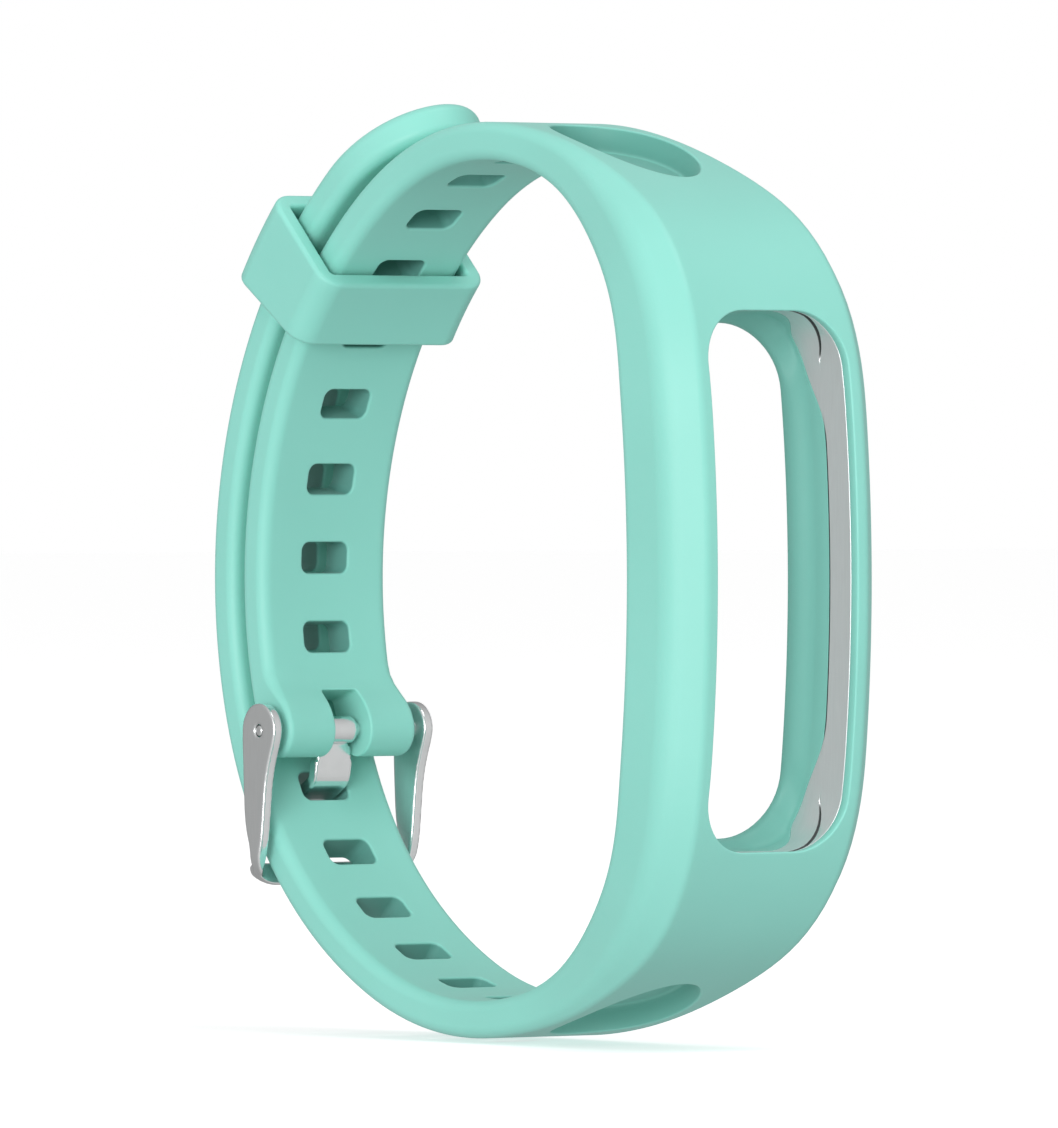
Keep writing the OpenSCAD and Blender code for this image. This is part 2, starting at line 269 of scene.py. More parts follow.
def half_width(s):
    return STRAP_HW + (HOLDER_HW - STRAP_HW) * (1 - eased(s, WIDTH_STEP))


def holder_share(s):
    return 1 - eased(s, HOLDER_STEP)


def bevel_at(s):
    return EDGE_R + (BEVEL - EDGE_R) * (1 - eased(s, BEVEL_STEP))


def to_lug(s):
    """0 on the strap and 1 at the spring bar."""
    return step5((s - PIN_S + LUG_TAPER) / LUG_TAPER)


def wrist_side(s):
    """How far the wrist side lies out from the loop: the tail rises, and the lugs stand inwards."""
    start, length = TAIL_LIFT_STEP
    lift = (STRAP_T + STRAP_GAP) * step5((-s - start) / length)
    return np.where(s < 0, lift, -LUG_IN * to_lug(s))


def outer_side(s):
    return np.where(s < 0, wrist_side(s) + thickness(s), thickness(s) - LUG_OUT * to_lug(s))


# ---------------------------------------------------------------- mesh building


class Skin:
    """Points and faces of one piece."""

    def __init__(self):
        self.points = []
        self.faces = []
        # How much painted shade darkens each point
        self.painted_shades = []

    def add(self, points, painted_shade=0.0):
        first = len(self.points)
        self.points.extend(map(tuple, points))
        self.painted_shades.extend(np.broadcast_to(painted_shade, len(points)))
        return list(range(first, len(self.points)))

    def join(self, rows, closed=True, skip=None):
        """Faces between rows of points of the same length."""
        for low, high in zip(rows, rows[1:]):
            n = len(low)
            for i in range(n if closed else n - 1):
                j = (i + 1) % n
                if skip is None or not (skip[i] and skip[j]):
                    self.faces.append((low[i], low[j], high[j], high[i]))

    def fan(self, row, centre, painted_shade=0.0, closed=True):
        middle = self.add([centre], painted_shade)[0]
        n = len(row)
        for i in range(n if closed else n - 1):
            self.faces.append((row[i], row[(i + 1) % n], middle))


def inside(points, polygon):
    """Which points lie inside a closed polygon."""
    x, y = points[:, 0], points[:, 1]
    found = np.zeros(len(points), bool)
    for (ax, ay), (bx, by) in zip(polygon, np.roll(polygon, -1, 0)):
        if ay != by:
            found ^= ((ay > y) != (by > y)) & (x < (bx - ax) * (y - ay) / (by - ay) + ax)
    return found


def into_material(loop, hole=False):
    """Unit normals of a closed plan loop that point into the material around or inside it."""
    along = np.roll(loop, -1, 0) - np.roll(loop, 1, 0)
    normal = np.stack([-along[:, 1], along[:, 0]], -1)
    normal /= np.linalg.norm(normal, axis=1, keepdims=True)
    x, y = loop.T
    area = np.sum(x * np.roll(y, -1) - np.roll(x, -1) * y)
    return normal if (area > 0) != hole else -normal


def round_rim(r, hold):
    """Inset and depth of the rows of a round edge, from the flat side to the wall."""
    t = np.radians(np.linspace(0, 90, 10))[:, None]
    r = np.asarray(r, float)[None, :]
    inset = np.concatenate([r + hold, r * (1 - np.sin(t))])
    return inset, np.concatenate([0 * r, r * (1 - np.cos(t))])


def bevel_rim(c, soft, hold):
    """The same rows for a bevel whose edges are softened, the one at the wall more than the other."""
    t = np.linspace(0, 1, 5)[:, None]
    c = np.asarray(c, float)[None, :]
    side = 0.55 * c
    g, h = soft / math.sqrt(2), side / math.sqrt(2)

    def bend(a, b, d):
        return (1 - t) ** 2 * a + 2 * t * (1 - t) * b + t**2 * d

    first = bend(c + soft, c, c - g), bend(0 * c, 0 * c, 0 * c + g)
    second = bend(h, 0 * c, 0 * c), bend(c - h, c, c + side)
    inset = np.concatenate([c + soft + hold, first[0], second[0]])
    return inset, np.concatenate([0 * c, first[1], second[1]])


def rounded_rectangle(hx, hy, r, corner=8, counts=(2, 4)):
    """Closed loop of a rounded rectangle, with the given steps along its sides in x and in y."""
    points = []
    for k, (cx, cy) in enumerate(((hx - r, hy - r), (r - hx, hy - r), (r - hx, r - hy), (hx - r, r - hy))):
        turn = np.radians(np.linspace(90 * k, 90 * k + 90, corner + 1))
        arc = np.stack([cx + r * np.cos(turn), cy + r * np.sin(turn)], -1)
        points.extend(arc)
        end = np.array([[r - hx, hy], [-hx, r - hy], [hx - r, -hy], [hx, hy - r]][k], float)
        steps = counts[k % 2]
        points.extend(arc[-1] + (end - arc[-1]) * i / steps for i in range(1, steps))
    return np.array(points)


class Slab(Skin):
    """A piece with two faces over one plan, and rims with shaped edges around it and around its holes."""

    def __init__(self, top, bottom):
        super().__init__()
        self.top = top
        self.bottom = bottom
        self.loops = {"top": [], "bottom": []}

    def rim(self, loop, normals, top_rows, bottom_rows, skip=None, painted_shade=0.0):
        """Wall along a plan loop, from one face to the other, with rows of (inset, depth) for each edge."""
        rows = []
        # The rows of both edges get painted shade in proportion to their depth, full on the wall
        for inset, depth in zip(*top_rows):
            plan = loop + inset[:, None] * normals
            rows.append(self.add(self.top(plan, depth), painted_shade * depth / top_rows[1][-1]))
            if len(rows) == 1:
                self.loops["top"].append((plan, rows[0]))
        for inset, depth in list(zip(*bottom_rows))[::-1]:
            plan = loop + inset[:, None] * normals
            rows.append(self.add(self.bottom(plan, depth), painted_shade * depth / bottom_rows[1][-1]))
        self.loops["bottom"].append((plan, rows[-1]))
        self.join(rows, skip=skip)

    @staticmethod
    def bent(plan):
        """The plan with its straight lines slightly bent, so that no triangle joins points of one line."""
        u, v = plan.T
        return np.stack([u + 2e-4 * v**2, v * (1 + 2e-5 * u**2)], -1)

    def fill(self, side, spacing_u, spacing_v, margin):
        """Closes one face between its rims with triangles that follow the curved surface."""
        loops = self.loops[side]
        edge = np.concatenate([p for p, _ in loops])
        low, high = edge.min(0), edge.max(0)
        us = np.arange(low[0], high[0], spacing_u)
        vs = np.arange(-np.ceil(high[1] / spacing_v), np.ceil(high[1] / spacing_v) + 1) * spacing_v
        grid = np.array([(u, v + (i % 2) * spacing_v / 2) for i, u in enumerate(us) for v in vs])
        keep = inside(grid, loops[0][0])
        for plan, _ in loops[1:]:
            keep &= ~inside(grid, plan)
        grid = grid[keep]
        near = np.array([np.min(np.sum((edge - g) ** 2, 1)) for g in grid])
        grid = grid[near > margin**2]
        surface = self.top if side == "top" else self.bottom
        extra = self.add(surface(grid, np.zeros(len(grid))))
        indices = [i for _, row in loops for i in row] + extra
        plan = np.concatenate([edge, grid])
        edges, start = [], 0
        for _, row in loops:
            edges += [(start + i, start + (i + 1) % len(row)) for i in range(len(row))]
            start += len(row)
        flat = [Vector(p) for p in self.bent(plan)]
        out, _, faces, origin, _, _ = geometry.delaunay_2d_cdt(flat, edges, [], 0, 1e-7)
        centres = np.array([[sum(out[i][k] for i in f) / 3 for k in (0, 1)] for f in faces])
        keep = inside(centres, self.bent(loops[0][0]))
        for p, _ in loops[1:]:
            keep &= ~inside(centres, self.bent(p))
        for face, wanted in zip(faces, keep):
            if wanted and all(origin[i] for i in face):
                self.faces.append(tuple(indices[origin[i][0]] for i in face))


def net(field, low, high, step):
    """Points and quads of the surface where a distance field, given points (n, 3), is zero."""
    axes = [np.arange(a - 2 * step, b + 3 * step, step) for a, b in zip(low, high)]
    shape = [len(a) for a in axes]
    grid = np.stack(np.meshgrid(*axes, indexing="ij"), -1).reshape(-1, 3)
    value = np.concatenate([field(part) for part in np.array_split(grid, 40)]).reshape(shape)
    solid = value < 0
    cell = tuple(n - 1 for n in shape)
    corners = [(i, j, k) for i in (0, 1) for j in (0, 1) for k in (0, 1)]

    def shifted(a, c):
        return a[c[0] : c[0] + cell[0], c[1] : c[1] + cell[1], c[2] : c[2] + cell[2]]

    count = sum(shifted(solid, c).astype(int) for c in corners)
    active = (count > 0) & (count < 8)
    number = np.full(cell, -1)
    number[active] = np.arange(active.sum())
    where = np.argwhere(active)
    total, weight = np.zeros((len(where), 3)), np.zeros(len(where))
    for a in corners:
        for b in corners:
            if sum(b) == sum(a) + 1 and all(y >= x for x, y in zip(a, b)):
                va, vb = shifted(value, a)[active], shifted(value, b)[active]
                cross = (va < 0) != (vb < 0)
                t = np.where(cross, va / np.where(cross, va - vb, 1), 0)[:, None]
                total += cross[:, None] * (np.array(a) + t * (np.array(b) - np.array(a)))
                weight += cross
    points = np.array([a[0] for a in axes]) + step * (where + total / weight[:, None])
    for _ in range(4):
        gradient = slope(field, points)
        points = points - 0.8 * field(points)[:, None] * gradient
    quads = []
    for axis in range(3):
        others = [a for a in range(3) if a != axis]
        span = [slice(None)] * 3
        first, second = list(span), list(span)
        first[axis], second[axis] = slice(0, -1), slice(1, None)
        change = solid[tuple(first)] != solid[tuple(second)]
        for p in np.argwhere(change):
            if all(0 < p[o] < cell[o] for o in others) and p[axis] < cell[axis]:
                around = []
                for du, dv in ((1, 1), (0, 1), (0, 0), (1, 0)):
                    q = p.copy()
                    q[others[0]] -= du
                    q[others[1]] -= dv
                    around.append(int(number[tuple(q)]))
                quads.append(tuple(around))
    return points, quads


def slope(field, points, h=0.02):
    """Unit gradient of a distance field."""
    steps = np.eye(3) * h
    gradient = np.stack([field(points + d) - field(points - d) for d in steps], -1)
    return gradient / np.maximum(np.linalg.norm(gradient, axis=1, keepdims=True), 1e-9)


def smooth_max(a, b, k):
    h = np.clip(0.5 + 0.5 * (a - b) / k, 0, 1)
    return b + (a - b) * h + k * h * (1 - h)


def smooth_min(a, b, k):
    return -smooth_max(-a, -b, k)


def rounded_join(a, b, r):
    """Field of a solid bounded by two fields, with its edge rounded to r."""
    a, b = a + r, b + r
    return np.hypot(np.maximum(a, 0), np.maximum(b, 0)) + np.minimum(np.maximum(a, b), 0) - r


def polygon_field(points, loop):
    """Signed distance in a plane to a closed loop."""
    best = np.full(len(points), 1e9)
    for a, b in zip(loop, np.roll(loop, -1, 0)):
        along = b - a
        t = np.clip(((points - a) @ along) / (along @ along), 0, 1)
        best = np.minimum(best, np.sum((points - a - t[:, None] * along) ** 2, 1))
    return np.sqrt(best) * np.where(inside(points, loop), -1, 1)


def spline(points, closed, count=6):
    """Catmull-Rom curve through points."""
    p = np.array(points, float)
    if closed:
        p = np.concatenate([p[-1:], p, p[:2]])
    else:
        p = np.concatenate([[2 * p[0] - p[1]], p, [2 * p[-1] - p[-2]]])
    out = []
    for a, b, c, d in zip(p, p[1:], p[2:], p[3:]):
        for t in np.arange(count) / count:
            bend = (2 * a - 5 * b + 4 * c - d) * t**2 + (3 * b - a - 3 * c + d) * t**3
            out.append(0.5 * (2 * b + (c - a) * t + bend))
    return np.array(out if closed else out + [p[-2]])


def put(mesh, name, values):
    """Stores one number for each point of a mesh, for its material to read."""
    mesh.attributes.new(name, "FLOAT", "POINT").data.foreach_set("value", np.array(values, np.float32))


def make(name, points, faces, material, slot, body, *nodes, polish=None, painted_shades=None, merge=0.002, rides=True):
    """A Blender piece from points in millimetres, that stands for CAD nodes.

    polish is a function of the mesh, the shade list has a number of painted shade for each point, and points closer
    than merge are joined.
    """
    mesh = bpy.data.meshes.new(name)
    mesh.from_pydata((np.array(points) * 0.001).tolist(), [], faces)
    if painted_shades is not None:
        put(mesh, "painted_shade", painted_shades)
    work = bmesh.new()
    work.from_mesh(mesh)
    if merge:
        bmesh.ops.remove_doubles(work, verts=work.verts, dist=merge * 0.001)
    bmesh.ops.delete(work, geom=[v for v in work.verts if not v.link_faces], context="VERTS")
    bmesh.ops.recalc_face_normals(work, faces=work.faces)
    work.to_mesh(mesh)
    work.free()
    mesh.shade_smooth()
    mesh.materials.append(material)
    if polish is not None:
        put(mesh, "polish", polish(mesh))
    piece = bpy.data.objects.new(name, mesh)
    bpy.context.scene.collection.objects.link(piece)
    weighted = piece.modifiers.new("normals", "WEIGHTED_NORMAL")
    weighted.weight = 60
    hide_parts(*nodes)
    if rides:
        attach(piece, body)
    return piece


# ---------------------------------------------------------------- materials


def node_material(name, color, metallic, roughness):
    material = bpy.data.materials.new(name)
    material.use_nodes = True
    shader = material.node_tree.nodes["Principled BSDF"]
    shader.inputs["Base Color"].default_value = (*color, 1)
    shader.inputs["Metallic"].default_value = metallic
    shader.inputs["Roughness"].default_value = roughness
    return material, material.node_tree, shader


def noise(tree, scale, detail, stretch=(1, 1, 1)):
    """Noise in the piece's own coordinates, in metres."""
    place = tree.nodes.new("ShaderNodeTexCoord")
    mapping = tree.nodes.new("ShaderNodeMapping")
    mapping.inputs["Scale"].default_value = stretch
    texture = tree.nodes.new("ShaderNodeTexNoise")
    texture.inputs["Scale"].default_value = scale
    texture.inputs["Detail"].default_value = detail
    tree.links.new(place.outputs["Object"], mapping.inputs["Vector"])
    tree.links.new(mapping.outputs["Vector"], texture.inputs["Vector"])
    return texture


def ranged(tree, source, low, high):
    """Maps a 0 to 1 output onto a range."""
    node = tree.nodes.new("ShaderNodeMapRange")
    node.inputs["To Min"].default_value = low
    node.inputs["To Max"].default_value = high
    tree.links.new(source, node.inputs["Value"])
    return node.outputs["Result"]


def bumped(tree, shader, sources, distance, strength):
    """Adds fine relief from a texture to a shader."""
    bump = tree.nodes.new("ShaderNodeBump")
    bump.inputs["Distance"].default_value = distance
    bump.inputs["Strength"].default_value = strength
    tree.links.new(sources, bump.inputs["Height"])
    tree.links.new(bump.outputs["Normal"], shader.inputs["Normal"])


def add_painted_shade(tree, shader, source, dark):
    """Paints shade into a colour: multiplies it by a darker one where the points' attribute marks a recess."""
    mark = tree.nodes.new("ShaderNodeAttribute")
    mark.attribute_name = "painted_shade"
    mix = tree.nodes.new("ShaderNodeMix")
    mix.data_type = "RGBA"
    mix.blend_type = "MULTIPLY"
    tree.links.new(mark.outputs["Fac"], mix.inputs[0])
    tree.links.new(source, mix.inputs[6])
    mix.inputs[7].default_value = (*dark, 1)
    tree.links.new(mix.outputs[2], shader.inputs["Base Color"])


def silicone_material():
    material, tree, shader = node_material("silicone", (0.285, 0.72, 0.625), 0, 0.46)
    shader.inputs["Specular IOR Level"].default_value = 0.38
    shader.inputs["Subsurface Weight"].default_value = 0.12
    shader.inputs["Subsurface Radius"].default_value = (0.6, 1.0, 0.9)
    shader.inputs["Subsurface Scale"].default_value = 0.0012
    shader.inputs["Sheen Weight"].default_value = 0.12
    shader.inputs["Sheen Roughness"].default_value = 0.5
    shader.inputs["Sheen Tint"].default_value = (0.8, 1.0, 0.95, 1)
    broad = noise(tree, 60, 2)
    ramp = tree.nodes.new("ShaderNodeValToRGB")
    ramp.color_ramp.elements[0].position = 0.3
    ramp.color_ramp.elements[0].color = (0.278, 0.70, 0.605, 1)
    ramp.color_ramp.elements[1].position = 0.7
    ramp.color_ramp.elements[1].color = (0.296, 0.735, 0.638, 1)
    tree.links.new(broad.outputs["Fac"], ramp.inputs["Fac"])
    # Painted shade: the green is multiplied by a darker grey-green where recesses are marked
    add_painted_shade(tree, shader, ramp.outputs["Color"], (0.5, 0.56, 0.56))
    fine = noise(tree, 5200, 3)
    tree.links.new(ranged(tree, fine.outputs["Fac"], 0.40, 0.52), shader.inputs["Roughness"])
    bumped(tree, shader, fine.outputs["Fac"], 0.00002, 0.22)
    return material


def metal_material(name, color, metallic, satin, polished):
    """Satin steel whose edges, marked by the polish attribute, are brighter."""
    material, tree, shader = node_material(name, color, metallic, satin)
    grain = noise(tree, 900, 4, (1, 6, 0.5))
    speck = noise(tree, 9000, 2)
    mark = tree.nodes.new("ShaderNodeAttribute")
    mark.attribute_name = "polish"
    mix = tree.nodes.new("ShaderNodeMix")
    tree.links.new(mark.outputs["Fac"], mix.inputs["Factor"])
    tree.links.new(ranged(tree, speck.outputs["Fac"], satin - 0.06, satin + 0.08), mix.inputs["A"])
    tree.links.new(ranged(tree, grain.outputs["Fac"], polished - 0.03, polished + 0.05), mix.inputs["B"])
    tree.links.new(mix.outputs["Result"], shader.inputs["Roughness"])
    bumped(tree, shader, grain.outputs["Fac"], 0.000012, 0.18)
    streak = tree.nodes.new("ShaderNodeValToRGB")
    for element, share in zip(streak.color_ramp.elements, (0.94, 1.04)):
        element.color = (*(share * c for c in color), 1)
    tree.links.new(grain.outputs["Fac"], streak.inputs["Fac"])
    # Painted shade: the steel is multiplied by near black where the corner slits are marked
    add_painted_shade(tree, shader, streak.outputs["Color"], (0.12, 0.13, 0.13))
    return material


SILICONE = silicone_material()
BRIGHT = metal_material("bright_metal", (0.84, 0.86, 0.86), 1, 0.34, 0.13)
SATIN = metal_material("satin_metal", (0.80, 0.82, 0.825), 0.7, 0.42, 0.3)


# ---------------------------------------------------------------- band


def band_slab():
    def layer(side, sign):
        def place(plan, depth):
            s, x = plan.T
            yz = at(s, side(s) - sign * depth)
            return np.column_stack([x, yz])

        return place

    return Slab(layer(outer_side, 1), layer(wrist_side, -1))


TIP_S = -(HALF_LOOP + BACK_R * math.radians(TIP_ANGLE))
TIP_L = BACK_R * math.radians(TIP_SPAN)
NOTCH_S = PIN_S - NOTCH_L


def band_outline():
    """Plan loop in (s, x), which vertices close the end of the lugs, and the inset directions."""
    base = TIP_S + TIP_L
    s = PIN_S - np.linspace(0, 1, 262) * (PIN_S - base)
    side = np.stack([s, half_width(s)], -1)
    turn = np.radians(np.linspace(0, 180, 41))[1:-1]
    tip = np.stack([base - TIP_L * np.sin(turn), STRAP_HW * np.cos(turn)], -1)
    other = side[::-1] * [1, -1]
    end_x = np.linspace(STRAP_HW - 1, NOTCH_HW + 0.6, 5)
    left_end = np.stack([np.full(5, PIN_S), -end_x], -1)
    down = np.linspace(0, 1, 6)[:-1] * (NOTCH_L - NOTCH_CORNER_R)
    notch_side = np.stack([PIN_S - down, np.full(5, NOTCH_HW)], -1)
    corner_turn = np.radians(np.linspace(0, 90, 5))
    corner_s = NOTCH_S + NOTCH_CORNER_R - NOTCH_CORNER_R * np.sin(corner_turn)
    corner_x = NOTCH_HW - NOTCH_CORNER_R + NOTCH_CORNER_R * np.cos(corner_turn)
    corner = np.stack([corner_s, corner_x], -1)
    middle = np.stack([np.full(3, NOTCH_S), np.array([0.7, 0, -0.7])], -1)
    notch = np.concatenate([notch_side, corner, middle, corner[::-1] * [1, -1], notch_side[::-1] * [1, -1]])
    loop = np.concatenate([side, tip, other, left_end, notch[::-1], left_end[::-1] * [1, -1]])
    normals = into_material(loop)
    width = np.abs(loop[:, 1])
    at_end = np.abs(loop[:, 0] - PIN_S) < 1e-6
    corners = at_end & ((np.abs(width - STRAP_HW) < 1e-6) | (np.abs(width - NOTCH_HW) < 1e-6))
    normals[at_end] = 0
    normals[corners, 1] = np.where(width[corners] > 4, -1, 1) * np.sign(loop[corners, 1])
    in_notch = (width < NOTCH_HW + 1e-6) & (loop[:, 0] > NOTCH_S - 1e-6)
    return loop, normals, at_end, in_notch


def outline_rows(loop, in_notch):
    """Edge rows of the moulding: bevelled along the holder, round along the straps."""
    s = loop[:, 0]
    lug = to_lug(s)
    edge = EDGE_R + (LUG_EDGE_R - EDGE_R) * lug
    edge = np.where(in_notch, NOTCH_EDGE_R, edge)
    share = holder_share(s)
    soft, hold = 0.35, 0.1
    plain = round_rim(edge, hold)
    bevel = bevel_rim(bevel_at(s), soft, hold)
    top = tuple((1 - share) * a + share * b for a, b in zip(plain, bevel))
    bottom = round_rim(np.where(in_notch, NOTCH_EDGE_R, edge + 0.3 * share), 0.2)
    return top, bottom


def lug_caps(skin):
    """Half-round ends of the strap around the spring bar."""
    inset, depth = (v[:, 0] for v in round_rim([LUG_EDGE_R], 0.1))
    notch_inset, notch_depth = (v[:, 0] for v in round_rim([NOTCH_EDGE_R], 0.1))
    flat = np.linspace(STRAP_HW - 1, NOTCH_HW + 0.6, 5)
    x = np.concatenate([STRAP_HW - inset[::-1], flat, NOTCH_HW + notch_inset])
    r = LUG_R - np.concatenate([depth[::-1], np.zeros(5), notch_depth])
    a = math.radians(PIN_ANGLE)
    outward, along = np.array([math.cos(a), math.sin(a)]), np.array([math.sin(a), -math.cos(a)])
    for sign in (-1, 1):
        rows = []
        for turn in np.radians(np.linspace(0, 180, 25)):
            way = math.cos(turn) * outward + math.sin(turn) * along
            rows.append(skin.add(np.column_stack([sign * x, PIN + r[:, None] * way])))
        skin.join(rows, closed=False)
        for end in (0, -1):
            skin.fan([row[end] for row in rows], (sign * x[end], *PIN), closed=False)


TONGUE_SLOT_S = BACK_R * math.radians(TONGUE_SLOT_ANGLE) - HALF_LOOP


def slot_places():
    """The slots' places in s and how much shorter in s each is, because s is measured on the wrist side."""

    def closeness(s):
        inner = np.linalg.norm(at(s + 0.5, 0) - at(s - 0.5, 0))
        return inner / np.linalg.norm(at(s + 0.5, wrist_side(s + 0.5)) - at(s - 0.5, wrist_side(s - 0.5)))

    places = [(PIN_S - FIRST_SLOT_OFF - i * SLOT_PITCH, 1.0) for i in range(1, BUCKLE_SLOTS + 1)]
    for sign, count in ((-1, TAIL_SLOTS_BEFORE), (1, TAIL_SLOTS_AFTER)):
        s = TONGUE_SLOT_S
        for i in range(count):
            if sign < 0 or i:
                places.append((s, closeness(s)))
            s += sign * SLOT_PITCH * closeness(s)
        if sign > 0:
            places.append((s, closeness(s)))
    return places


def add_slots(slab):
    shape = rounded_rectangle(SLOT_HL, SLOT_HW, SLOT_R, corner=6)
    for s, squeeze in slot_places():
        loop = shape * [squeeze, 1] + [s, 0]
        rim = round_rim(np.full(len(loop), SLOT_EDGE_R), 0.1)
        # The slot walls are darkened with painted shade
        slab.rim(loop, into_material(loop, hole=True), rim, rim, painted_shade=1.0)


# Inset, height over the bottom and painted shade of the rows of a pocket's wall and of the fillet at its foot; the
# painted shade is weaker on the fillet, which leaves a painted light line there
POCKET_WALL = (
    (0, 0.6, 1), (0, 0.27, 1), (0.03, 0.15, 0.8), (0.1, 0.07, 0.4), (0.2, 0.02, 0.4), (0.34, 0, 0.8), (0.5, 0, 0.9),
)  # fmt: skip


def add_pockets(slab):
    """Oval pockets on both shoulders, darkened inside with painted shade."""
    turn = np.linspace(0, 2 * math.pi, 64, endpoint=False)
    for s, dark in POCKET_PAINTED_SHADE.items():
        loop = np.stack([s + POCKET_HL * np.cos(turn), POCKET_HW * np.sin(turn)], -1)
        normals = into_material(loop, hole=True)
        inset, depth = round_rim(np.full(len(loop), POCKET_EDGE_R), 0.1)
        rows = []
        for a, d in zip(inset, depth):
            rows.append(slab.add(slab.top(loop + a[:, None] * normals, d), dark * d / depth[-1]))
        slab.loops["top"].append((loop + inset[0][:, None] * normals, rows[0]))
        for a, rise, painted_shade in POCKET_WALL:
            bottom = np.full(len(loop), POCKET_DEPTH - rise)
            rows.append(slab.add(slab.top(loop - a * normals, bottom), dark * painted_shade))
        inner = loop - POCKET_WALL[-1][0] * normals
        for share in (0.86, 0.7, 0.52, 0.34, 0.17):
            plan = [s, 0] + share * (inner - [s, 0])
            rows.append(slab.add(slab.top(plan, np.full(len(loop), POCKET_DEPTH)), 0.9 * dark))
        slab.join(rows)
        slab.fan(rows[-1], slab.top(np.array([[s, 0.0]]), np.array([POCKET_DEPTH]))[0], 0.9 * dark)


FACE_S = np.linspace(-31, 31, 1241)
FRONT_FACE = at(FACE_S, outer_side(FACE_S))
WRIST_FACE = at(FACE_S, wrist_side(FACE_S))


def across(face, z):
    """s and Y of a face of the holder at the height z."""
    return np.interp(z, face[:, 1], FACE_S), np.interp(z, face[:, 1], face[:, 0])


def opening_loop(inset=0, r=OPENING_R):
    loop = rounded_rectangle(OPENING_HW - inset, OPENING_HH - inset, r, 14, (6, 37))
    return loop, into_material(loop, hole=True)


def frame_depth(loop):
    """Depth of the capsule frame behind the lip, with a deeper tab in each corner."""
    z = np.abs(loop[:, 1])
    tab = step5((z - 10.3) / 8.6) * (1 - 0.95 * step5((z - 18.6) / 2.6))
    return FRAME_DEPTH + FRAME_TAB * tab


def opening_row(plan, depth, face, sign):
    """Points of a row across the opening at a depth behind one face, and their places on that face."""
    s, y = across(face, plan[:, 1])
    return np.stack([s, plan[:, 0]], -1), np.column_stack([plan[:, 0], y + sign * depth, plan[:, 1]])


def ledge_rows(deep):
    """Plans and heights of the soft ledge that narrows the opening towards the wrist."""
    loop, _ = opening_loop()
    ledge, normals = opening_loop(LEDGE_W, OPENING_R + LEDGE_W)
    room = across(WRIST_FACE, loop[:, 1])[1] - across(FRONT_FACE, loop[:, 1])[1] - deep
    start = np.clip(room - 0.15, 1.0, LEDGE_START)
    inset, depth = round_rim(np.full(len(loop), LEDGE_NOSE), 0.12)
    rows = []
    for t in np.linspace(0, 1, 9):
        share = step5(t)
        rows.append((loop + share * (ledge - loop), start + t * (LEDGE_NOSE + 0.05 - start)))
    return rows + [(ledge + a[:, None] * normals, d) for a, d in list(zip(inset, depth))[::-1]]


def add_opening(slab):
    """Wall of the opening, with the lip, the recess of the frame and the ledge, darkened with painted shade from
    just behind the front edge inwards.
    """
    loop, normals = opening_loop()
    deep = LIP_T + frame_depth(loop)
    inset, depth = round_rim(np.full(len(loop), OPENING_EDGE_R), 0.06)
    steps = list(zip(inset, depth))
    steps += [(0, LIP_T - 0.1), (0.03, LIP_T - 0.03), (0.1, LIP_T), (RECESS, LIP_T), (RECESS, deep), (0.06, deep)]
    steps += [(0, deep + 0.06)]
    rows = []
    for a, d in steps:
        plan, points = opening_row(loop + np.broadcast_to(a, len(loop))[:, None] * normals, d, FRONT_FACE, 1)
        rows.append(slab.add(points, OPENING_PAINTED_SHADE * step5((d - 0.15) / 0.4)))
        if len(rows) == 1:
            slab.loops["top"].append((plan, rows[0]))
    for plan, d in ledge_rows(deep):
        plan, points = opening_row(plan, d, WRIST_FACE, -1)
        rows.append(slab.add(points, OPENING_PAINTED_SHADE * step5((d - 0.1) / 0.4)))
    slab.loops["bottom"].append((plan, rows[-1]))
    slab.join(rows)


def make_band():
    """The moulding, in two pieces: the tail's end and all the rest."""
    slab = band_slab()
    loop, normals, at_end, in_notch = band_outline()
    slab.rim(loop, normals, *outline_rows(loop, in_notch), skip=at_end)
    add_opening(slab)
    add_slots(slab)
    add_pockets(slab)
    slab.fill("top", 1.0, 1.4, 0.5)
    slab.fill("bottom", 1.0, 1.4, 0.5)
    lug_caps(slab)
    points = np.array(slab.points)
    y, z = points[:, 1] - BACK_Y, points[:, 2]
    angle = np.degrees(np.arctan2(z, y))
    on_outer_strap = np.hypot(y, z) > BACK_R + STRAP_T + STRAP_GAP / 2
    on_tail = (angle > TAIL_CUT[0]) & (angle < TAIL_CUT[1]) & on_outer_strap
    parts = [], []
    for face in slab.faces:
        parts[all(on_tail[list(face)])].append(face)
    make("silicone_band", points, parts[0], SILICONE, "silicone", "band", "band", painted_shades=slab.painted_shades)
    tail = make(
        "silicone_tail_end", points, parts[1], SILICONE, "silicone", None, "strap_tail",
        painted_shades=slab.painted_shades, rides=False,
    )  # fmt: skip
    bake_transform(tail)  # fmt: skip


# ---------------------------------------------------------------- capsule frame


